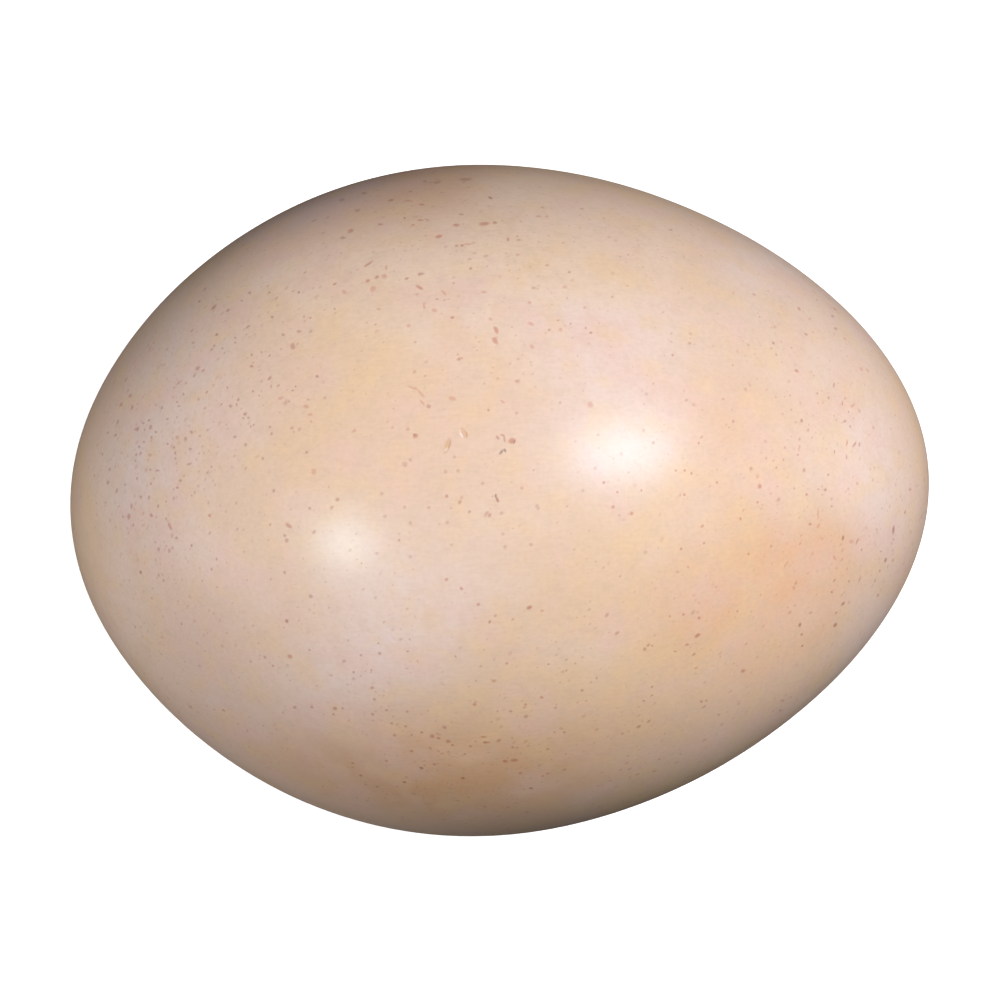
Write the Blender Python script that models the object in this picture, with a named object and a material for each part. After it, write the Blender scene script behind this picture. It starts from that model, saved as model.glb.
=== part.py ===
"""A large speckled egg lying on its side, in metres, +Z up.

The long axis lies along X, with the small end at +X. The outline is an ellipse whose half-breadth is
scaled by a cubic in the place along the axis (Preston's egg formula), turned about that axis. The axis is
very slightly bowed, both ends towards +Y. The egg rests on a small flat spot under its widest part, and
the origin is the middle of that spot.
"""

import bmesh
import bpy
from mathutils import Vector

# The size of the egg
LENGTH = 0.150
BREADTH = 0.117

# The form of the egg, each as a share of the half-breadth at the ends of the axis
POINTEDNESS = -0.068
END_FULLNESS = -0.100
SHOULDER = 0.042
BOW = 0.0128

# The flat spot that it rests on
FLAT_DEPTH = 0.0005

# How finely the round surface is divided
SUBDIVISIONS = 5
SHORTEST_EDGE = 0.00005

# The shell's finish
SHELL_COLOUR = (0.74, 0.56, 0.44, 1.0)
SHELL_ROUGHNESS = 0.32


def clear_scene():
    """Removes every object, so that the egg is alone."""
    for old in list(bpy.data.objects):
        bpy.data.objects.remove(old, do_unlink=True)


def girth(along):
    """The egg's half-breadth at a place along its axis, over that of an ellipse: along is -1 to 1."""
    return 1 + POINTEDNESS * along + END_FULLNESS * along**2 + SHOULDER * along**3


def shell_point(direction):
    """The place on the shell that a point of the unit sphere goes to, before the egg is set down."""
    along = direction.x
    radius = BREADTH / 2 * girth(along)
    sideways = radius * direction.y + BREADTH / 2 * BOW * along**2
    return Vector((LENGTH / 2 * along, sideways, radius * direction.z))


def set_down(mesh):
    """Cuts the flat spot under the widest part, and moves the egg so that the spot's middle is the origin."""
    lowest = min(mesh.verts, key=lambda vert: vert.co.z).co
    level = lowest.z + FLAT_DEPTH
    everything = mesh.verts[:] + mesh.edges[:] + mesh.faces[:]
    bmesh.ops.bisect_plane(
        mesh, geom=everything, plane_co=(0, 0, level), plane_no=(0, 0, 1), clear_inner=True
    )
    rim = [edge for edge in mesh.edges if edge.is_boundary]
    bmesh.ops.edgeloop_fill(mesh, edges=rim)
    bmesh.ops.dissolve_degenerate(mesh, edges=mesh.edges[:], dist=SHORTEST_EDGE)
    spot = min(mesh.faces, key=lambda face: face.calc_center_median().z)
    bmesh.ops.translate(mesh, verts=mesh.verts[:], vec=-spot.calc_center_bounds())


def egg_mesh():
    """One closed round surface with the flat spot."""
    mesh = bmesh.new()
    bmesh.ops.create_icosphere(mesh, subdivisions=SUBDIVISIONS, radius=1)
    for vert in mesh.verts:
        vert.co = shell_point(vert.co.normalized())
    set_down(mesh)
    bmesh.ops.recalc_face_normals(mesh, faces=mesh.faces[:])
    shell = bpy.data.meshes.new("egg")
    mesh.to_mesh(shell)
    mesh.free()
    return shell


def shell_material():
    """The smooth, slightly glossy, pale pink-cream shell."""
    material = bpy.data.materials.new("speckled shell")
    material.use_nodes = True
    finish = material.node_tree.nodes["Principled BSDF"]
    finish.inputs["Base Color"].default_value = SHELL_COLOUR
    finish.inputs["Roughness"].default_value = SHELL_ROUGHNESS
    finish.inputs["Metallic"].default_value = 0.0
    return material


def make_egg():
    """The egg, shaded smooth except round the flat spot."""
    shell = egg_mesh()
    shell.materials.append(shell_material())
    shell.shade_smooth()
    egg = bpy.data.objects.new("egg", shell)
    bpy.context.scene.collection.objects.link(egg)
    return egg


clear_scene()
make_egg()
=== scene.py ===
"""The looks of a large speckled egg: its fine shell and its colours, soft studio light and the camera."""

from math import cos, radians, sin, sqrt

import bmesh
import bpy
from mathutils import Matrix, Vector, noise
from mathutils.kdtree import KDTree


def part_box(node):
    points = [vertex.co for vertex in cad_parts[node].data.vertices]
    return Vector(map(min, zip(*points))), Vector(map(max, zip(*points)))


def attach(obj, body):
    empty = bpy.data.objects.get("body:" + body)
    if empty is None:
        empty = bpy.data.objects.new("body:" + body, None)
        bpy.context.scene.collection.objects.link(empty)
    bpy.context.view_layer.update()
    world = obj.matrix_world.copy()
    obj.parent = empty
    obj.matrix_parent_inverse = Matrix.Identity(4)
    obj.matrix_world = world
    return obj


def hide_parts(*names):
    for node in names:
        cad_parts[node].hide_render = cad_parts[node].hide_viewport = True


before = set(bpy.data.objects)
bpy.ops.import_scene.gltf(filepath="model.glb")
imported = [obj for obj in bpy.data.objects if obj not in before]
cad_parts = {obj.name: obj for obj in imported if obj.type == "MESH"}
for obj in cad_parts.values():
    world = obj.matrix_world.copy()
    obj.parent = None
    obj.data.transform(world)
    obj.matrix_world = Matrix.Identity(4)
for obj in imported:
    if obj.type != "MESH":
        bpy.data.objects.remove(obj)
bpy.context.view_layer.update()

# One millimetre in the scene's metres
MILLIMETRE = 0.001

# The form of the egg, each as a share of its half-breadth at the ends of the axis
POINTEDNESS = -0.068
END_FULLNESS = -0.100
SHOULDER = 0.042
BOW = 0.0128
# The half-breadth at the widest place, as a share of the half-breadth in the middle of the axis
WIDEST_SHARE = 1.0019

# The fine surface: how finely it is divided, and the height and spacing of its swells in metres
SUBDIVISIONS = 7
SWELL = 0.00006
SWELL_SPACING = 0.021

# The photograph's frame, and the egg in it: its middle and half-length in pixels and its turn in degrees
PHOTO_SIDE = 1000
PHOTO_MIDDLE = (PHOTO_SIDE - 1) / 2
PHOTO_EGG_CENTRE = (499.4, 498.8)
PHOTO_HALF_LENGTH = 430.2
PHOTO_TURN = 2.83

# The camera's distance from the egg's middle in metres, and its sensor in millimetres
CAMERA_DISTANCE = 1.0
SENSOR = 36.0
# How often the search for a pixel's point on the shell halves its stretch of the line of sight
HALVINGS = 40


def egg_measures():
    """The half-length, half-breadth and centre of the egg, worked out from its solid's box."""
    low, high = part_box("egg")
    half_length = (high.x - low.x) / 2
    half_breadth = (high.y - low.y) / 2 / WIDEST_SHARE
    centre = Vector(((low.x + high.x) / 2, (low.y + high.y) / 2, high.z - half_breadth * WIDEST_SHARE))
    return half_length, half_breadth, centre


HALF_LENGTH, HALF_BREADTH, CENTRE = egg_measures()


# Camera


def camera_axes():
    """The directions in the row frame that point right, up and out of the photograph."""
    turn = radians(PHOTO_TURN)
    right = Vector((cos(turn), -sin(turn), 0))
    up = Vector((sin(turn), cos(turn), 0))
    return right, up, Vector((0, 0, 1))


RIGHT, UP, OUT = camera_axes()


def make_camera():
    """A camera straight above the egg, whose frame holds the egg as the photograph does."""
    data = bpy.data.cameras.new("camera")
    data.sensor_width = SENSOR
    reach = sqrt(CAMERA_DISTANCE**2 - HALF_BREADTH**2)
    data.lens = SENSOR * PHOTO_HALF_LENGTH / PHOTO_SIDE * reach / HALF_LENGTH
    metres_a_pixel = HALF_LENGTH / PHOTO_HALF_LENGTH
    aim = CENTRE - RIGHT * (PHOTO_EGG_CENTRE[0] - PHOTO_MIDDLE) * metres_a_pixel
    aim += UP * (PHOTO_EGG_CENTRE[1] - PHOTO_MIDDLE) * metres_a_pixel
    camera = bpy.data.objects.new("camera", data)
    bpy.context.scene.collection.objects.link(camera)
    camera.matrix_world = Matrix((RIGHT, UP, OUT)).transposed().to_4x4()
    camera.location = aim + OUT * CAMERA_DISTANCE
    bpy.context.scene.camera = camera
    return camera


# The egg


def girth(along):
    """The egg's half-breadth at a place along its axis, over that of an ellipse: along is -1 to 1."""
    return 1 + POINTEDNESS * along + END_FULLNESS * along**2 + SHOULDER * along**3


def shell_point(direction):
    """The place on the shell that a point of the unit sphere goes to."""
    along = direction.x
    radius = HALF_BREADTH * girth(along)
    sideways = radius * direction.y + HALF_BREADTH * BOW * along**2
    return CENTRE + Vector((HALF_LENGTH * along, sideways, radius * direction.z))


def inside(place):
    """Whether a place is within the shell."""
    offset = place - CENTRE
    along = offset.x / HALF_LENGTH
    if abs(along) >= 1:
        return False
    radius = HALF_BREADTH * girth(along) * sqrt(1 - along**2)
    return (offset.y - HALF_BREADTH * BOW * along**2) ** 2 + offset.z**2 < radius**2


def seen_at(column, row):
    """The point of the shell that shows at a pixel of the photograph."""
    data = camera.data
    across = RIGHT * (column - PHOTO_MIDDLE) - UP * (row - PHOTO_MIDDLE)
    ray = (across * data.sensor_width / PHOTO_SIDE / data.lens - OUT).normalized()
    near_end = 0.0
    far_end = (camera.location.z - CENTRE.z) / -ray.z
    for _ in range(HALVINGS):
        halfway = (near_end + far_end) / 2
        if inside(camera.location + ray * halfway):
            far_end = halfway
        else:
            near_end = halfway
    return camera.location + ray * far_end


# Two shallow chips and a scratch. Each has its pixel, its length, width and depth in millimetres, and its
# turn in the photograph in degrees.
CHIPS = (
    (446, 445.5, 3.0, 1.15, 0.20, 65),
    (463, 432.5, 2.1, 1.05, 0.17, -60),
    (416, 390, 3.2, 0.75, 0.09, -38),
)
# The mesh is halved once within each of these distances of a chip's middle, in metres
REFINED_WITHIN = (0.0034, 0.0030, 0.0026, 0.0022)
# The share of a chip's width that its sloping walls take up
CHIP_WALL = 0.8


def refine(mesh, middles):
    """Divides the unit sphere's mesh near the chips, so that their walls are crisp."""
    for reach in REFINED_WITHIN:
        close = []
        for edge in mesh.edges:
            place = shell_point((edge.verts[0].co + edge.verts[1].co).normalized())
            if any((place - middle).length < reach for middle in middles):
                close.append(edge)
        bmesh.ops.subdivide_edges(mesh, edges=close, cuts=1, use_grid_fill=True)
        for vert in mesh.verts:
            vert.co.normalize()
    bmesh.ops.triangulate(mesh, faces=[face for face in mesh.faces if len(face.verts) > 3])


def chip_depth(place, middle, chip):
    """How deep a chip is at a place: its floor is nearly flat and its walls slope smoothly."""
    _, _, length, width, depth, turn = chip
    along = RIGHT * cos(radians(turn)) + UP * sin(radians(turn))
    across = UP * cos(radians(turn)) - RIGHT * sin(radians(turn))
    offset = (place - middle) / MILLIMETRE
    outward = (offset.dot(along) / length * 2) ** 2 + (offset.dot(across) / width * 2) ** 2
    share = max(0.0, min(1.0, (1 - outward) / CHIP_WALL))
    return depth * MILLIMETRE * share * share * (3 - 2 * share)


def make_egg():
    """The shell as a fine mesh: its faint swells, its chips and its flat spot on the floor."""
    mesh = bmesh.new()
    bmesh.ops.create_icosphere(mesh, subdivisions=SUBDIVISIONS, radius=1)
    middles = [seen_at(chip[0], chip[1]) for chip in CHIPS]
    refine(mesh, middles)
    for vert in mesh.verts:
        direction = vert.co.normalized()
        place = shell_point(direction)
        lowered = sum(chip_depth(place, middle, chip) for middle, chip in zip(middles, CHIPS))
        # The swells only lower the shell, so that it stays within its solid's box
        place += direction * (SWELL * (noise.noise(place / SWELL_SPACING) - 1) - lowered)
        place.z = max(place.z, 0)
        vert.co = place
    shell = bpy.data.meshes.new("egg_shell")
    mesh.to_mesh(shell)
    mesh.free()
    shell.shade_smooth()
    egg = bpy.data.objects.new("egg_shell", shell)
    bpy.context.scene.collection.objects.link(egg)
    return egg


# The shell's colours


class Nodes:
    """A short way to add nodes to one material or world and to join them."""

    def __init__(self, tree):
        self.tree = tree

    def add(self, kind, values=None, **settings):
        """A node, with its settings and its input values. A value may be another node's output."""
        node = self.tree.nodes.new("ShaderNode" + kind)
        for name, value in settings.items():
            setattr(node, name, value)
        for key, value in (values or {}).items():
            if isinstance(value, bpy.types.NodeSocket):
                self.tree.links.new(value, node.inputs[key])
            else:
                node.inputs[key].default_value = value
        return node

    def math(self, operation, *values):
        """The result of one step of arithmetic."""
        return self.add("Math", dict(enumerate(values)), operation=operation).outputs[0]

    def noise(self, place, spacing, detail=2.0):
        """Smooth noise from 0 to 1 whose swells are about one spacing apart."""
        return self.add("TexNoise", {"Vector": place, "Scale": 1 / spacing, "Detail": detail}).outputs[0]

    def remap(self, value, low, high, to_low, to_high):
        """Carries value from low..high to to_low..to_high along a smooth step."""
        span = {"Value": value, "From Min": low, "From Max": high, "To Min": to_low, "To Max": to_high}
        return self.add("MapRange", span, interpolation_type="SMOOTHSTEP").outputs[0]

    def paint(self, colour, over, share, blend="MIX"):
        """Lays one colour over another, as strongly as share says."""
        # Inputs 6 and 7 and output 2 are the colour sockets of this node
        mix = self.add("Mix", {0: share, 6: colour, 7: over}, data_type="RGBA", blend_type=blend)
        return mix.outputs[2]

    def within(self, place, centre, radii):
        """The distance from a centre, as a share of the radii."""
        values = {"Vector": place, "Location": centre, "Scale": radii}
        moved = self.add("Mapping", values, vector_type="TEXTURE").outputs[0]
        return self.add("VectorMath", {0: moved}, operation="LENGTH").outputs["Value"]

    def shifted(self, place, shift):
        """The place, moved by a shift."""
        return self.add("VectorMath", {0: place, 1: shift}, operation="ADD").outputs[0]

    def shaken(self, place, spacing, reach, detail=1.0):
        """The place, moved about by noise so that what is drawn with it has a natural outline."""
        values = {"Vector": place, "Scale": 1 / spacing, "Detail": detail}
        wave = self.add("TexNoise", values).outputs["Color"]
        middle = self.add("VectorMath", {0: wave, 1: (0.5, 0.5, 0.5)}, operation="SUBTRACT").outputs[0]
        shift = self.add("VectorMath", {0: middle, "Scale": 2 * reach}, operation="SCALE").outputs[0]
        return self.shifted(place, shift)


# The shell's ground colour, and the colours of its clouds and drifts
GROUND = (0.775, 0.565, 0.435, 1)
LILAC = (0.82, 0.68, 0.66, 1)
MAUVE = (0.74, 0.56, 0.52, 1)
STRAW = (0.82, 0.58, 0.33, 1)
ORANGE = (0.74, 0.40, 0.21, 1)
BROWN = (0.68, 0.385, 0.19, 1)
# A russet for the top edge: painted shade that also makes the edge browner
EDGE_SHADE_RUSSET = (0.74, 0.44, 0.28, 1)
PINK = (0.80, 0.55, 0.48, 1)
PALE = (0.86, 0.66, 0.53, 1)
SAND = (0.84, 0.62, 0.42, 1)
PEACH = (0.89, 0.57, 0.36, 1)
DUN = (0.69, 0.51, 0.39, 1)
ASH = (0.72, 0.60, 0.57, 1)
# Soft clouds of colour. A few, marked below, are painted shade along the top edge and painted sheen at the
# ends. Each has its pixel in the photograph, its reach along and across the egg in millimetres, its colour
# and its strength.
CLOUDS = (
    (480, 272, 62, 22, PALE, 0.90),
    (125, 610, 26, 30, PALE, 0.80),
    (640, 225, 26, 12, PALE, 0.50),
    (840, 640, 26, 26, PALE, 0.55),
    (660, 790, 34, 17, SAND, 0.90),
    (82, 530, 12, 22, SAND, 0.60),
    (430, 690, 52, 30, DUN, 0.55),
    (400, 565, 56, 20, DUN, 0.42),
    (225, 540, 18, 16, DUN, 0.35),
    (740, 370, 28, 24, DUN, 0.35),
    (826, 505, 20, 15, DUN, 0.45),
    # Painted sheen: this lilac cloud at the left end stands in for a broad reflection of a cool lamp
    (140, 475, 19, 28, LILAC, 0.66),
    (190, 380, 17, 17, LILAC, 0.40),
    (180, 325, 20, 20, ASH, 0.50),
    (262, 214, 20, 9, ASH, 0.50),
    (322, 274, 24, 17, PALE, 0.80),
    (215, 640, 32, 28, MAUVE, 0.50),
    (300, 715, 26, 20, LILAC, 0.60),
    (372, 640, 24, 18, LILAC, 0.62),
    (425, 575, 22, 14, LILAC, 0.40),
    (335, 375, 28, 26, STRAW, 0.26),
    (600, 335, 19, 17, LILAC, 0.56),
    (655, 370, 18, 16, LILAC, 0.22),
    (770, 265, 20, 14, LILAC, 0.58),
    (850, 330, 18, 20, LILAC, 0.35),
    (560, 430, 16, 14, MAUVE, 0.36),
    (725, 440, 18, 18, ORANGE, 0.22),
    # Painted sheen: these two lilac clouds at the right end stand in for a broad reflection of a lamp
    (870, 450, 12, 20, LILAC, 0.60),
    (890, 520, 11, 13, LILAC, 0.50),
    (660, 590, 44, 26, STRAW, 0.38),
    (806, 582, 20, 17, ORANGE, 0.80),
    (735, 612, 28, 19, ORANGE, 0.62),
    (864, 622, 10, 12, LILAC, 0.40),
    (600, 700, 42, 24, STRAW, 0.38),
    (778, 636, 32, 22, PEACH, 0.50),
    (430, 778, 62, 26, BROWN, 0.80),
    (735, 510, 18, 16, ORANGE, 0.18),
    # Along the top edge: the russet clouds are painted shade that also makes it browner, the pale one
    # lightens a stretch of it, and the mauve ones make its upper left greyer and bluer
    (365, 190, 34, 18, EDGE_SHADE_RUSSET, 0.72),
    (425, 172, 42, 13, EDGE_SHADE_RUSSET, 0.40),
    (515, 188, 18, 10, PALE, 0.70),
    (298, 212, 16, 10, MAUVE, 0.80),
    (346, 190, 14, 9, MAUVE, 0.80),
)
# How far clouds and crowds of specks reach below and above their place on the shell, in metres
CLOUD_DEPTH = 0.030
# The noise that gives the clouds natural outlines: its spacing and reach in metres, and its detail
CLOUD_WAVE = 0.024
CLOUD_SHAKE = 0.006
CLOUD_DETAIL = 4.0
# Drifts of colour all over the shell. Each has its spacing in metres, its colour and its strength.
DRIFTS = (
    (0.026, STRAW, 0.22),
    (0.018, LILAC, 0.26),
    (0.009, PINK, 0.50),
    (0.006, STRAW, 0.36),
    (0.0028, DUN, 0.22),
    (0.0014, DUN, 0.16),
)
# The values of its noise between which a drift comes in
DRIFT_BEGINS = 0.45
DRIFT_FULL = 0.72
# The step from one drift's noise to the next, so that no two drifts are alike
DRIFT_STEP = (0.1, 0.3, 0.7)
# A fine grain: its tint, the values of its noise between which it comes in, and how far it is drawn out
GRAIN_TINT = (0.80, 0.70, 0.66, 1)
GRAIN_BEGINS = 0.35
GRAIN_FULL = 0.75
GRAIN_STRETCH = 0.22
# The spacing in metres and the strength of the even grain and of the drawn-out one
EVEN_GRAIN = (0.0007, 0.14)
STREAKY_GRAIN = (0.0005, 0.16)


def clouds(nodes, place):
    """The shell's ground colour with its soft clouds, among them painted shade along the top edge and painted
    sheen at the ends.
    """
    drifting = nodes.shaken(place, CLOUD_WAVE, CLOUD_SHAKE, CLOUD_DETAIL)
    colour = GROUND
    for column, row, along, across, tint, strength in CLOUDS:
        radii = (along * MILLIMETRE, across * MILLIMETRE, CLOUD_DEPTH)
        away = nodes.within(drifting, seen_at(column, row), radii)
        colour = nodes.paint(colour, tint, nodes.remap(away, 0.0, 1.0, strength, 0.0))
    return colour


def mottle(nodes, place, colour):
    """Faint warm and cool drifts all over, and a fine streaky grain."""
    for spacing, tint, strength in DRIFTS:
        share = nodes.remap(nodes.noise(place, spacing), DRIFT_BEGINS, DRIFT_FULL, 0.0, strength)
        colour = nodes.paint(colour, tint, share)
        place = nodes.shifted(place, DRIFT_STEP)
    drawn_out = nodes.add("Mapping", {"Vector": place, "Scale": (GRAIN_STRETCH, 1, 1)}).outputs[0]
    for where, (spacing, strength) in ((place, EVEN_GRAIN), (drawn_out, STREAKY_GRAIN)):
        share = nodes.remap(nodes.noise(where, spacing), GRAIN_BEGINS, GRAIN_FULL, 0.0, strength)
        colour = nodes.paint(colour, GRAIN_TINT, share, "MULTIPLY")
    return colour


# Layers of specks. Each has its spacing and the radii of its smallest and largest specks in millimetres, the
# share of places that hold one, and its two tints.
SPECK_LAYERS = (
    (0.9, 0.14, 0.32, 0.50, (0.80, 0.64, 0.62, 1), (0.92, 0.84, 0.82, 1)),
    (1.6, 0.24, 0.52, 0.50, (0.70, 0.47, 0.45, 1), (0.92, 0.81, 0.79, 1)),
    (4.2, 0.36, 0.74, 0.26, (0.68, 0.44, 0.41, 1), (0.90, 0.76, 0.74, 1)),
)
# Where specks crowd or thin out: the pixel, the reach along and across in millimetres, and how much
CROWDS = (
    (150, 450, 40, 50, 1.1),
    (470, 760, 40, 20, 0.7),
    (380, 260, 46, 30, 0.5),
    (840, 480, 18, 50, 0.7),
    (475, 480, 34, 30, -0.7),
    (680, 480, 24, 26, -0.3),
)
# How thickly specks lie also drifts with noise: its spacing in metres, the values of the noise between
# which it rises, and the least and the most that it gives
CROWD_SPACING = 0.014
CROWD_NOISE = (0.35, 0.70)
CROWD_RANGE = (0.35, 1.4)
# The specks are a little longer along one direction, at this turn in degrees
SPECK_TURN = 40
SPECK_STRETCH = 1.45
# The share of a speck's radius within which it is at its full strength
SPECK_CORE = 0.25
SPECK_STRENGTH = 0.9
# Powers over 1, which make large specks and dark specks rarer than small and faint ones
SIZE_POWER = 1.6
TINT_POWER = 1.5


def specks(nodes, place, colour, crowd):
    """The layers of soft specks, one in each cell at most, with random size and tint."""
    turned = (0, 0, radians(SPECK_TURN))
    stretched = {"Vector": place, "Rotation": turned, "Scale": (SPECK_STRETCH, 1, 1)}
    place = nodes.add("Mapping", stretched, vector_type="TEXTURE").outputs[0]
    for spacing, small, large, share, dark, faint in SPECK_LAYERS:
        cells = nodes.add("TexVoronoi", {"Vector": place, "Scale": 1 / (spacing * MILLIMETRE)})
        chance = nodes.add("SeparateColor", {0: cells.outputs["Color"]})
        there = nodes.math("LESS_THAN", chance.outputs[0], nodes.math("MULTIPLY", crowd, share))
        size = nodes.math("POWER", chance.outputs[1], SIZE_POWER)
        radius = nodes.math("MULTIPLY_ADD", size, (large - small) / spacing, small / spacing)
        core = nodes.math("MULTIPLY", radius, SPECK_CORE)
        mask = nodes.remap(cells.outputs["Distance"], core, radius, SPECK_STRENGTH, 0.0)
        tint = nodes.paint(faint, dark, nodes.math("POWER", chance.outputs[2], TINT_POWER))
        colour = nodes.paint(colour, tint, nodes.math("MULTIPLY", mask, there), "MULTIPLY")
    return colour


# The tints of the marks that show singly, which multiply the colour of the shell under them
MAUVE_TINT = (0.74, 0.57, 0.58, 1)
RED_TINT = (0.78, 0.52, 0.49, 1)
PINK_TINT = (0.88, 0.68, 0.66, 1)
DARK_TINT = (0.58, 0.38, 0.34, 1)
RUST_TINT = (0.72, 0.46, 0.38, 1)
GREY_TINT = (0.45, 0.40, 0.42, 1)
FAINT_TINT = (0.84, 0.72, 0.71, 1)
BARK_TINT = (0.76, 0.60, 0.52, 1)
HONEY_TINT = (0.90, 0.80, 0.64, 1)
AMBER_TINT = (0.92, 0.78, 0.66, 1)
# Over 1, it makes the shell paler: painted highlights on the chips, standing in for glints of the lamps
PAINTED_GLINT_TINT = (1.20, 1.48, 1.85, 1)
# The round marks. Each group has its tint, its width in millimetres and the pixel of each mark.
SPOTS = (
    (MAUVE_TINT, 0.76, (
        (428, 405.5), (286, 540), (310, 596), (158, 549), (337, 499), (444, 727),
    )),
    (MAUVE_TINT, 0.58, (
        (374, 699), (394, 735), (470, 746), (153, 342), (245, 444), (262, 458), (306, 452), (158, 575),
        (163, 580), (211, 569), (216, 559), (284, 535), (284, 572), (309, 508), (379, 653), (342, 708),
        (333, 714), (386, 710), (391, 723), (525, 704), (510, 711), (582, 690), (564, 732), (360, 655),
        (352, 763), (512, 747), (547, 749), (405, 726), (464, 754), (506, 663), (353, 672),
    )),
    (FAINT_TINT, 0.95, ((404, 463.5),)),
    (FAINT_TINT, 0.64, (
        (410, 459.5), (410, 522.5), (446.5, 522), (530.5, 544), (381, 493), (598, 434), (595, 468),
        (604, 482), (582, 490), (748, 344), (690, 333), (502.5, 533.5), (504.5, 546.5),
        (521.5, 488), (536.5, 505.5), (410, 556), (457.5, 470), (445, 470.5), (454, 456.5), (428, 507),
        (404, 506.5), (384.5, 515.5), (461, 497), (407.5, 428.5), (516, 412.5), (501, 512.5), (485, 515),
        (482, 483), (693.5, 404), (745.5, 388.5), (643.5, 430), (621, 453), (645, 552),
    )),
    (MAUVE_TINT, 0.40, (
        (378, 643), (352, 767), (406, 777), (411, 735), (424, 765), (497, 711), (554, 732), (455, 656),
        (575, 663), (566, 670), (409, 639), (371, 670), (548, 664), (596, 678), (331, 675), (475, 741),
    )),
    (RED_TINT, 0.85, ((289, 656), (432, 736), (505, 761), (759.5, 486), (448, 741))),
    (RED_TINT, 0.64, (
        (452, 745), (421, 732), (434, 764), (446, 579), (461, 588), (478, 604), (612.5, 506.5),
        (631.5, 513), (520, 773), (548, 773), (542, 776), (474, 704), (541, 697), (411, 751),
        (372, 714), (386, 761), (438, 738), (446, 495.5),
    )),
    (RED_TINT, 0.50, (
        (681, 548.5), (703.5, 543), (698.5, 442.5), (733, 421), (716.5, 482), (757.5, 502), (740, 518),
        (748.5, 553.5), (617, 491.5), (603.5, 482.5), (684.5, 469.5), (675.5, 470), (691, 473),
        (684, 494), (672, 354.5), (488, 409.5), (414, 434),
    )),
    (PINK_TINT, 1.05, ((313, 471), (590, 404))),
    (PINK_TINT, 0.70, ((560, 329), (408, 325), (529, 302), (452, 317), (490, 318), (517, 254))),
    (DARK_TINT, 0.72, ((286, 621), (462, 778), (421, 768), (140, 572), (530, 788), (404, 782))),
    (RUST_TINT, 1.15, ((511.3, 440.2),)),
)
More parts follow.
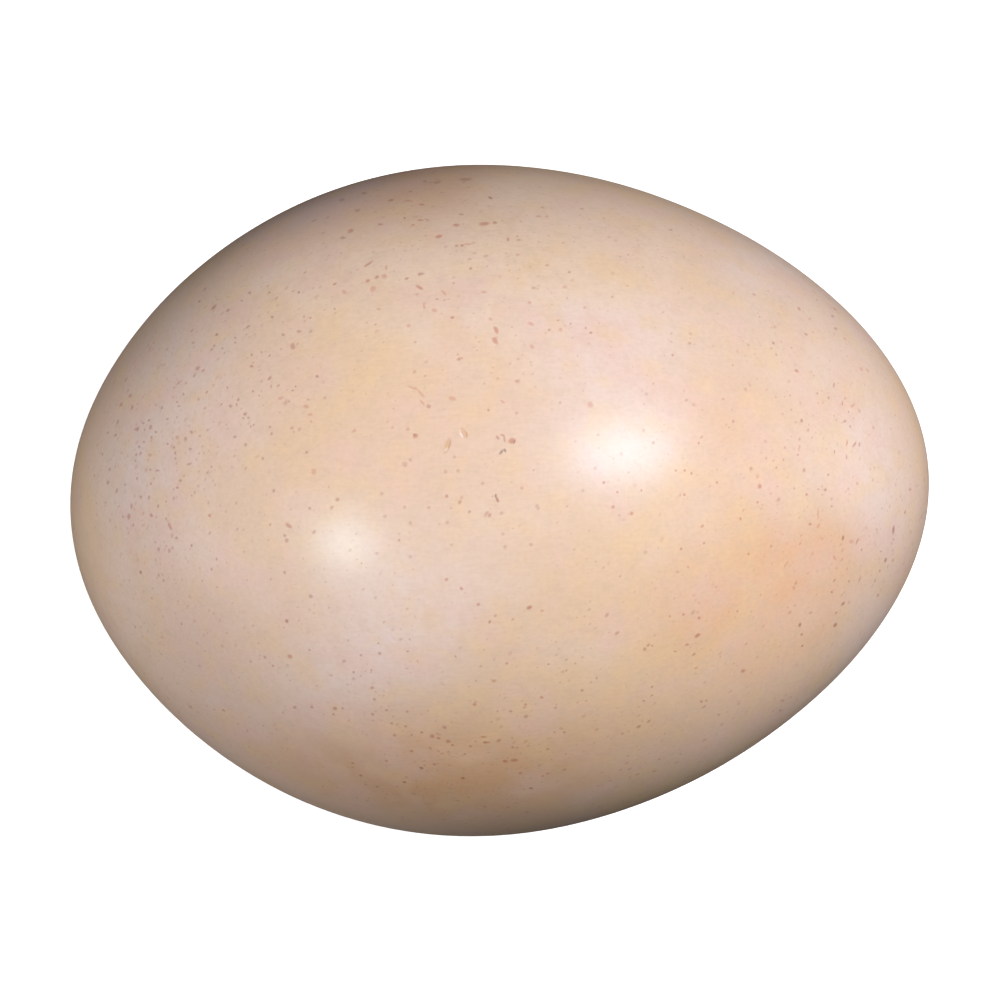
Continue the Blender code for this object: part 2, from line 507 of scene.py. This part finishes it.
# The marks that aren't round, and those near the edges of the egg, by tint. Each has its pixel, the length
# and width at which it shows, in pixels, and its turn in degrees.
STREAKS = (
    (RED_TINT, (
        (288, 525, 8, 4, -30), (495.5, 329.5, 8, 4.5, -60), (494.5, 340, 8.5, 4.5, -50),
        (483.7, 223.2, 11.4, 3.9, 5), (494.3, 222.2, 5.5, 2.6, 5), (514, 760, 7.7, 2.8, 0),
        (486, 742, 7.7, 2.3, 0), (483, 736.6, 6.6, 2.2, 0), (367.8, 263.3, 11, 2.4, 35),
        (169.2, 526.1, 8.2, 2.9, -65), (197, 367.7, 5.9, 3.3, 50), (350.1, 229.9, 6.9, 4.2, 25),
        (379.8, 223.5, 6.2, 2, 0), (390.6, 199.2, 6.2, 2.6, 8), (421.3, 203.8, 5.5, 2, 0),
        (420, 219.4, 6.5, 2, 0), (455.9, 224.3, 7.2, 3.3, 0), (438.3, 235.9, 6.9, 3.6, 15),
        (461.8, 244.7, 4.2, 3, 10), (376, 276.7, 4.9, 3.3, 40), (367.4, 280.3, 4.6, 3.6, 30),
        (436.5, 298.4, 3, 2, 0), (507.5, 238.8, 4.3, 3, 80), (418.8, 286.9, 7.6, 3.4, -35),
        (149.6, 426.7, 5.2, 3.3, 75), (129.4, 395.2, 4, 3, 50), (131.2, 406.6, 5.2, 2.4, 75),
        (139.8, 452.8, 4.2, 2.3, 70), (176.4, 487.1, 3.6, 2.8, 0), (150.3, 483.3, 3.2, 2.2, 80),
        (128.1, 516.3, 6.5, 3.3, 85), (150.8, 515, 4.4, 3, -60), (208.9, 515.3, 4, 4, 0),
        (798.7, 307.9, 5.2, 2.6, -50), (796.2, 370.1, 4.4, 3, -40), (859.1, 443.8, 4.2, 2, 85),
        (853.9, 444.6, 7.2, 2, 60), (846.5, 442.4, 7.2, 1.8, 85), (842, 402.8, 5.8, 1.8, 85),
        (809.8, 523.9, 3.2, 2.9, 0), (806.2, 494, 3.3, 3.3, 0), (857.3, 540.6, 7.2, 1.8, 65),
        (686.7, 644.4, 4.2, 2.6, 10), (742.9, 670.7, 5.2, 3.3, 35), (698.8, 617.6, 3.6, 3.3, 0),
        (683.1, 614.2, 3.3, 2.3, 50), (202.4, 370.1, 4.2, 2, 45), (250.7, 365.9, 3.9, 2.9, 10),
        (651.9, 645.7, 2.9, 2, 0), (674.8, 651, 3.3, 1.8, 0), (835.7, 612.6, 4, 2.2, 50),
    )),
    (MAUVE_TINT, (
        (502, 434.6, 5.2, 2.3, -15), (504, 438.5, 6.9, 2.6, -78), (497, 437, 5.2, 3.2, -60),
        (514, 441, 5.2, 2.3, 75), (357, 209.5, 6.2, 2.3, 20), (363.7, 192.2, 5.5, 2.3, 0),
        (341, 199, 6, 2.5, 15), (342, 237, 5.5, 2.6, 0), (470.3, 267.8, 3.6, 3, 0),
        (461, 213.7, 5.5, 2.3, 0), (420.3, 273, 6.5, 3, 0), (456, 245, 3.6, 2.6, 0),
        (120, 404, 5, 2.2, 60), (117, 421, 5, 2, 75), (161.2, 407, 4.2, 2.6, 80),
        (182.8, 393.7, 3, 2.3, 90), (176.4, 401.2, 2.3, 2, 0), (178, 405.6, 3.4, 2.3, 30),
        (166.4, 418.5, 3, 2.3, 0), (148.2, 419.7, 3.3, 2, 30), (142.4, 422.4, 3, 2.3, 0),
        (134.8, 428.3, 3.6, 1.8, 65), (155.2, 431.3, 2.9, 2.6, 0), (106.9, 431.9, 2.6, 1.8, 70),
        (114.7, 434.5, 3.9, 2.3, 60), (150.6, 436.5, 3.2, 2.4, -60), (184.7, 438.1, 4.2, 3.3, 80),
        (190.8, 431.6, 3.3, 3.3, 0), (166.6, 443.3, 2.8, 2.6, 0), (143, 441.5, 2.9, 2, 90),
        (173.1, 447.1, 3.5, 2.8, 60), (174.4, 452.8, 3.9, 2, 90), (174.6, 457.9, 2.6, 2.3, 0),
        (138.4, 446.1, 3.2, 2.6, 80), (135.4, 454, 3.2, 2.3, 80), (188.2, 463.6, 5.5, 2.5, 20),
        (108.7, 469, 3.6, 2.4, 80), (149.3, 469, 2.2, 2.2, 0), (156.5, 470.2, 5, 2.4, 0),
        (179.5, 479.9, 3.3, 3.3, 0), (136, 478, 3.3, 1.8, 85), (124.3, 483.8, 3, 1.8, 80),
        (116, 490.4, 5.2, 2.6, 80), (139.8, 496.4, 3, 1.8, 90), (148.2, 497.2, 4.2, 2.4, 80),
        (190.9, 495.3, 2.9, 2, 90), (104.7, 501.8, 2.4, 1.6, 90), (130.7, 505.7, 6.5, 2.3, 88),
        (157.5, 505.5, 3.3, 2, 85), (175.8, 537.6, 3.3, 3, 0), (199, 435.7, 2.4, 2, 0),
        (176.4, 416.7, 2.2, 2.2, 0), (189.8, 448.2, 2.9, 2.6, 0), (227.3, 309.7, 4.6, 2.2, 40),
        (204.2, 288.5, 5, 1.8, 55), (198.8, 300.7, 2.9, 2.3, 30), (249, 292.2, 3.6, 3, 30),
        (268.8, 291.9, 2.9, 2.3, 0), (298.2, 291.6, 3, 3, 0), (241.2, 300.2, 2.6, 2, 0),
        (334.3, 308.2, 2.3, 2.3, 0), (271.6, 316.6, 3.3, 3, 0), (303.6, 315.9, 2.3, 2.3, 0),
        (309.5, 317.2, 2.6, 2.6, 0), (247.1, 326.4, 6.5, 2.3, 40), (297.9, 330.8, 3.6, 2.9, 0),
        (282.5, 334, 3.9, 2.3, -30), (216.4, 333.9, 3.6, 2.3, 50), (213.5, 345, 3.6, 2.3, 50),
        (234.5, 337.3, 2.6, 2, 0), (234.5, 342, 2.3, 2, 0), (192.6, 342.2, 3.6, 2.3, 45),
        (221.8, 347.9, 2.3, 2.3, 0), (292, 345.6, 6.5, 5.5, 85), (261.1, 351.3, 2.9, 2.3, 0),
        (251.3, 354, 3, 3, 0), (268.7, 355.1, 3.6, 2, 55), (316.8, 375.2, 3.9, 2.9, -60),
        (270.3, 385.8, 3.9, 2, 88), (294.8, 385.8, 2.3, 2.3, 0), (291.8, 389.9, 2.6, 2, 0),
        (252.3, 390.5, 2.9, 2.4, 0), (258.4, 394.6, 2, 2, 0), (288.4, 400.8, 2.3, 2, 0),
        (229.8, 405.4, 3.6, 3.3, 0), (236.3, 404, 4.2, 2, 88), (247.8, 417, 2.9, 2.3, 0),
        (242.4, 417.5, 2.3, 2, 0), (250.2, 426.1, 3.3, 1.8, 85), (269, 426, 3.3, 2.9, 0),
        (270.8, 433.5, 3.3, 2.3, 80), (233.9, 436.4, 3.3, 3, 0), (226.5, 386.8, 2.9, 2.3, 80),
        (832.3, 315.3, 3.9, 2.3, -40), (835.6, 328, 4.4, 2.4, -35), (805.9, 333.9, 3.3, 2.6, -20),
        (833.6, 384.7, 5.8, 2, 85), (816.8, 392.7, 2.9, 2, 90), (828.4, 397.4, 3.2, 2.3, 80),
        (844.4, 420.6, 3.6, 3.2, 0), (849.8, 426.1, 3.6, 2, 85), (834.3, 451.4, 4, 1.6, 90),
        (846, 456.3, 5, 1.6, 90), (909.9, 489, 3.4, 2.6, 80), (818, 488.7, 2, 2, 0),
        (831.5, 505.8, 2.6, 2, 0), (880.8, 551.3, 2.2, 2.2, 0), (879.7, 570.6, 3.3, 1.8, 80),
        (859.6, 578.8, 6.5, 1.8, 65), (848.7, 580.7, 3.3, 2, 60), (877.9, 595, 4.2, 2.3, 65),
        (893.2, 539.3, 2.6, 2, 80), (644.1, 648.8, 4, 3.7, 0), (700.9, 701.4, 3.6, 2.6, 10),
        (706, 700.4, 2.9, 2.3, 10), (718.4, 714.3, 2.6, 2.6, 0), (782.4, 700.4, 3.6, 2.3, 35),
        (780, 710.2, 3, 2, 30), (643.3, 700.4, 3.6, 2.3, 0), (651.8, 694.9, 2.6, 1.8, 0),
    )),
    (PINK_TINT, (
        (422, 402, 8, 2.4, -50), (412, 387, 11.5, 2.4, -20), (420, 392.5, 10.9, 2.4, -48),
        (452, 398, 7.3, 4.8, -10), (502.5, 401, 5.5, 2.6, -35),
        (407.8, 200, 9.8, 2, 0), (427.3, 219.6, 5, 1.8, 0), (467.3, 243.4, 7.2, 2.3, 5),
        (385.6, 267, 5.2, 2.8, 88), (383.8, 275.9, 6.2, 5.5, 0), (372.2, 288.2, 6.9, 5.2, 60),
        (343.6, 291.4, 5.2, 3.6, -10), (442.9, 291.9, 7.4, 2.7, -45), (433.7, 309.4, 5.9, 3.9, -20),
        (423.3, 304.5, 8, 2.3, 90), (378.2, 308.2, 4.2, 2.6, 0), (451, 317, 5.5, 2.3, -20),
        (483.3, 291.4, 6.5, 2.3, 0), (473.9, 252.7, 4, 1.6, 0), (538, 215.5, 6.7, 2, 0),
        (546.7, 215.8, 3.7, 2.4, 0), (530.5, 323, 6.7, 3.7, -25), (531.4, 345.9, 5.5, 4.3, -40),
        (280.2, 397.2, 6.2, 3.6, 20), (307.3, 398.9, 3.9, 2.9, 0), (305.4, 405.9, 6.2, 4.2, 0),
        (309.3, 413.6, 5.2, 3.3, 0), (310.4, 420.9, 2.9, 2.6, 0), (291.2, 427.6, 4.6, 3.3, 15),
        (176.4, 437.1, 4.4, 4.2, 0), (149, 454.8, 4.5, 3.6, 0), (809.5, 318, 3.6, 2.9, 60),
        (861.2, 368.3, 5.5, 2.2, -55), (867.8, 369.8, 5.5, 2, -50), (844.7, 397.7, 3.6, 2.6, 80),
        (852.2, 404.9, 5.5, 3, 45), (858.9, 410.3, 4.9, 2.6, -60), (799.2, 447.7, 7.2, 1.8, 85),
        (784.8, 446.9, 3.6, 2, 90), (818, 513, 13, 1.6, 88), (817.6, 525.9, 3.6, 2.6, 80),
        (851.4, 541.2, 5, 4.4, 0), (834.3, 557.6, 6.5, 2.2, -60), (793.5, 587.4, 3.9, 3, 70),
        (699.1, 633.8, 3.9, 2.9, 0), (695.5, 667.8, 4.2, 2.6, 0), (677.2, 571.4, 3.9, 2.9, 0),
        (687.8, 566.5, 2.6, 2.4, 0), (789.4, 611.9, 4.9, 3, 45), (760.3, 594.1, 2.9, 2, 35),
        (736.8, 610.4, 2.4, 2, 0), (810.3, 612.6, 4, 2.4, 30),
    )),
    (DARK_TINT, (
        (496.8, 499, 5.7, 2.6, -66), (489.9, 197, 4.6, 2.3, -20), (893.5, 529.5, 9.8, 2.3, 82),
        (842.8, 537.6, 5.9, 2.3, 75), (885.6, 559.5, 5.5, 2.1, 70), (799.6, 624.5, 4.6, 2.9, 60),
        (835, 624.6, 4.8, 2.9, 50), (801.4, 634, 3.2, 2, 40), (802, 645.4, 3.2, 2, 40),
        (842.7, 603.4, 4.9, 2.3, 50), (404, 216.8, 2, 1.6, 0), (831.4, 591.5, 2.4, 2, 0),
    )),
    (GREY_TINT, ((500.5, 451.5, 6.3, 2.6, 42), (504.3, 449.8, 4, 2.6, -62), (495.3, 495.3, 4.6, 2.3, 88))),
    (BARK_TINT, ((437, 181.5, 8.5, 3, 8), (424.4, 180.5, 4.2, 2, 0), (465, 178.5, 13, 3, 0))),
    (HONEY_TINT, ((446.3, 445, 17.2, 6.3, 65),)),
    (AMBER_TINT, ((463.8, 432.3, 12, 5.7, -60),)),
    # Painted highlights on the walls of the two chips
    (PAINTED_GLINT_TINT, ((445.9, 449.2, 5.4, 2.6, 60), (460.9, 434.2, 5.4, 2.4, -60))),
)
# Every face of the shell knows this many of the marks nearest to it
MARKS_A_FACE = 3
# How far a mark can be from a face's middle and still be painted there, in metres
MARK_REACH = 0.004
# What a face knows of a mark, and the kind of value that each part is
MARK_PARTS = {"middle": "Vector", "along": "Vector", "across": "Vector", "tint": "Color"}
# The strength of a mark in its middle, and the square of the distance at which it has faded, its edge being 1
MARK_STRENGTH = 0.85
MARK_FADED = 1.7
# The least distance from a mark's middle that counts, as a share of its edge's, to keep 0 out of a division
LEAST_SHARE = 0.001


def half_way(column, row, length, turn):
    """Half of the stretch along the shell that shows at this length and turn at a pixel of the photograph."""
    step_x = length / 2 * cos(radians(turn))
    step_y = length / 2 * sin(radians(turn))
    return (seen_at(column + step_x, row - step_y) - seen_at(column - step_x, row + step_y)) / 2


def make_mark(column, row, ahead, aside, tint):
    """A mark: its middle, two axes along which its edge is at 1, and its tint."""
    outward = ahead.cross(aside)
    along = aside.cross(outward)
    across = outward.cross(ahead)
    return seen_at(column, row), along / along.dot(ahead), across / across.dot(aside), tint


def all_marks():
    """Every single mark. A spot is round on the shell, and a streak is as it shows."""
    marks = []
    for tint, width, pixels in SPOTS:
        radius = width / 2 * MILLIMETRE
        for column, row in pixels:
            ahead = half_way(column, row, 1, 0).normalized()
            outward = ahead.cross(half_way(column, row, 1, 90))
            aside = outward.cross(ahead).normalized()
            marks.append(make_mark(column, row, ahead * radius, aside * radius, tint))
    for tint, streaks in STREAKS:
        for column, row, length, width, turn in streaks:
            ahead = half_way(column, row, length, turn)
            aside = half_way(column, row, width, turn + 90)
            marks.append(make_mark(column, row, ahead, aside, tint))
    return marks


def beyond(place, mark):
    """How far a place is outside a mark's edge. Inside, it is less than 0."""
    middle, along, across, _ = mark
    offset = place - middle
    share = sqrt(offset.dot(along) ** 2 + offset.dot(across) ** 2)
    return offset.length * (1 - 1 / max(share, LEAST_SHARE))


def store_marks(shell):
    """Writes on each face the marks nearest to it, for the material to paint."""
    marks = all_marks()
    tree = KDTree(len(marks))
    for index, mark in enumerate(marks):
        tree.insert(mark[0], index)
    tree.balance()
    for slot in range(MARKS_A_FACE):
        for name, kind in MARK_PARTS.items():
            shell.attributes.new(f"mark_{name}_{slot}", f"FLOAT_{kind.upper()}", "FACE")
    for face in shell.polygons:
        found = [marks[index] for _, index, _ in tree.find_range(face.center, MARK_REACH)]
        found.sort(key=lambda mark: beyond(face.center, mark))
        for slot, mark in enumerate(found[:MARKS_A_FACE]):
            for (name, kind), value in zip(MARK_PARTS.items(), mark):
                entry = shell.attributes[f"mark_{name}_{slot}"].data[face.index]
                setattr(entry, kind.lower(), value)


def single_marks(nodes, place, colour):
    """The specks, streaks, thin strokes, tan chips and painted chip highlights that show singly, as
    store_marks left them.
    """
    for slot in range(MARKS_A_FACE):
        stored = {}
        for name, kind in MARK_PARTS.items():
            node = nodes.add("Attribute", attribute_type="GEOMETRY", attribute_name=f"mark_{name}_{slot}")
            stored[name] = node.outputs[kind]
        offset = nodes.add("VectorMath", {0: place, 1: stored["middle"]}, operation="SUBTRACT").outputs[0]
        squares = []
        for name in ("along", "across"):
            part = nodes.add("VectorMath", {0: offset, 1: stored[name]}, operation="DOT_PRODUCT")
            part = part.outputs["Value"]
            squares.append(nodes.math("MULTIPLY", part, part))
        # The axes of a mark are 1 over its radius in metres, far over 1. Those of a face with no mark are 0.
        marked = nodes.add("VectorMath", {0: stored["along"]}, operation="LENGTH").outputs["Value"]
        marked = nodes.math("GREATER_THAN", marked, 1.0)
        share = nodes.remap(nodes.math("ADD", *squares), 0.0, MARK_FADED, MARK_STRENGTH, 0.0)
        share = nodes.math("MULTIPLY", share, marked)
        colour = nodes.paint(colour, stored["tint"], share, "MULTIPLY")
    return colour


def crowding(nodes, place):
    """How thickly the specks lie: a natural drift, with more or fewer where the photograph shows it."""
    crowd = nodes.remap(nodes.noise(place, CROWD_SPACING), *CROWD_NOISE, *CROWD_RANGE)
    for column, row, along, across, more in CROWDS:
        radii = (along * MILLIMETRE, across * MILLIMETRE, CLOUD_DEPTH)
        away = nodes.within(place, seen_at(column, row), radii)
        crowd = nodes.math("ADD", crowd, nodes.remap(away, 0.0, 1.0, more, 0.0))
    return crowd


# How rough the shell is, where 0 is a mirror and 1 is matt
ROUGHNESS = 0.33
# The noise that makes the specks' outlines ragged: its spacing and reach in metres
RAGGED_SPACING = 0.0012
RAGGED_REACH = 0.00018
# The fine pores: their spacing in metres, their detail, and the strength and depth in metres of their relief
PORE_SPACING = 0.0006
PORE_DETAIL = 3.0
PORE_STRENGTH = 0.35
PORE_DEPTH = 0.00004


def shell_material():
    """A smooth, slightly glossy shell: clouds of colour with painted shade and sheen near the edges, layers
    of specks, painted chip highlights and fine pores.
    """
    material = bpy.data.materials.new("speckled_shell")
    material.use_nodes = True
    nodes = Nodes(material.node_tree)
    finish = nodes.tree.nodes["Principled BSDF"]
    place = nodes.add("TexCoord").outputs["Object"]
    colour = mottle(nodes, place, clouds(nodes, place))
    ragged = nodes.shaken(place, RAGGED_SPACING, RAGGED_REACH)
    colour = specks(nodes, ragged, colour, crowding(nodes, place))
    colour = single_marks(nodes, ragged, colour)
    nodes.tree.links.new(colour, finish.inputs["Base Color"])
    finish.inputs["Roughness"].default_value = ROUGHNESS

    pores = nodes.noise(place, PORE_SPACING, PORE_DETAIL)
    relief = nodes.add("Bump", {"Height": pores, "Strength": PORE_STRENGTH, "Distance": PORE_DEPTH})
    nodes.tree.links.new(relief.outputs[0], finish.inputs["Normal"])
    return material


# Light and floor


# The distance of the lamps from the egg's middle in metres
LAMP_DISTANCE = 1.2
# The lamps that light the shell. Each has its tilt from the camera's axis and its turn in the photograph in
# degrees, its size in metres and its power in watts.
LAMPS = {
    "key_lamp": (39, 26, 0.40, 11.4),
    "second_lamp": (40, 206, 0.30, 5.1),
    "front_lamp": (12, 340, 0.50, 1.4),
    "top_lamp": (52, 96, 0.50, 1.7),
    "left_lamp": (74, 194, 0.50, 4.0),
    "right_lamp": (89, 2, 0.50, 4.2),
    "under_lamp": (180, 0, 1.20, 10.0),
}
# The lamps that give the two highlights. They have a colour too.
GLINTS = {
    "key_glint": (36.3, 25.3, 0.335, 7.5, (0.5, 0.76, 1.0)),
    "second_glint": (37, 202, 0.19, 4.8, (0.65, 0.88, 1.0)),
}
# The even light all round, and what the camera sees behind the floor
AMBIENT = (0.01, 0.01, 0.01, 1)
BACKDROP = (0.93, 0.93, 0.93, 1)
# The floor: half its side in metres, its colour, and the strength of its glow
FLOOR_HALF_SIDE = 12
FLOOR_COLOUR = (0.9, 0.9, 0.9, 1)
FLOOR_GLOW = 0.7


def toward(tilt, turn):
    """The direction that tilts this far from the camera's axis and turns this far in the photograph."""
    side = sin(radians(tilt))
    across = RIGHT * cos(radians(turn)) + UP * sin(radians(turn))
    return across * side + OUT * cos(radians(tilt))


def add_lamp(name, tilt, turn, size, power, colour=(1, 1, 1), glint=False):
    """A round soft lamp that faces the egg. A glint only gives a highlight, and the others give none."""
    data = bpy.data.lights.new(name, "AREA")
    data.shape = "DISK"
    data.size = size
    data.energy = power
    data.color = colour
    lamp = bpy.data.objects.new(name, data)
    bpy.context.scene.collection.objects.link(lamp)
    way = toward(tilt, turn)
    lamp.location = CENTRE + way * LAMP_DISTANCE
    lamp.rotation_euler = way.to_track_quat("Z", "Y").to_euler()
    lamp.visible_camera = False
    lamp.visible_glossy = glint
    lamp.visible_diffuse = not glint


def make_world():
    """A dim even light all round. What the camera itself sees behind the floor is pale."""
    world = bpy.data.worlds.new("world")
    bpy.context.scene.world = world
    world.use_nodes = True
    tree = world.node_tree
    tree.nodes.clear()
    nodes = Nodes(tree)
    light = nodes.add("Background", {"Color": AMBIENT})
    pale = nodes.add("Background", {"Color": BACKDROP})
    seen = nodes.add("LightPath").outputs["Is Camera Ray"]
    mix = nodes.add("MixShader", {0: seen, 1: light.outputs[0], 2: pale.outputs[0]})
    nodes.add("OutputWorld", {"Surface": mix.outputs[0]})


def make_floor():
    """A plain pale floor. It glows without lighting the egg, and lets the light from below through."""
    data = bpy.data.meshes.new("floor")
    mesh = bmesh.new()
    bmesh.ops.create_grid(mesh, x_segments=1, y_segments=1, size=FLOOR_HALF_SIDE)
    mesh.to_mesh(data)
    mesh.free()
    floor = bpy.data.objects.new("floor", data)
    bpy.context.scene.collection.objects.link(floor)
    material = bpy.data.materials.new("floor")
    material.use_nodes = True
    finish = material.node_tree.nodes["Principled BSDF"]
    finish.inputs["Base Color"].default_value = FLOOR_COLOUR
    finish.inputs["Roughness"].default_value = 1.0
    finish.inputs["Specular IOR Level"].default_value = 0.0
    finish.inputs["Emission Color"].default_value = (1, 1, 1, 1)
    finish.inputs["Emission Strength"].default_value = FLOOR_GLOW
    data.materials.append(material)
    floor.visible_diffuse = False
    floor.visible_glossy = False
    floor.visible_shadow = False


bpy.context.scene.view_settings.view_transform = "Standard"
camera = make_camera()
egg = make_egg()
store_marks(egg.data)
egg.data.materials.append(shell_material())
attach(egg, "root")
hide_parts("egg")
for lamp_name, lamp_values in LAMPS.items():
    add_lamp(lamp_name, *lamp_values)
for lamp_name, lamp_values in GLINTS.items():
    add_lamp(lamp_name, *lamp_values, glint=True)
make_world()
make_floor()
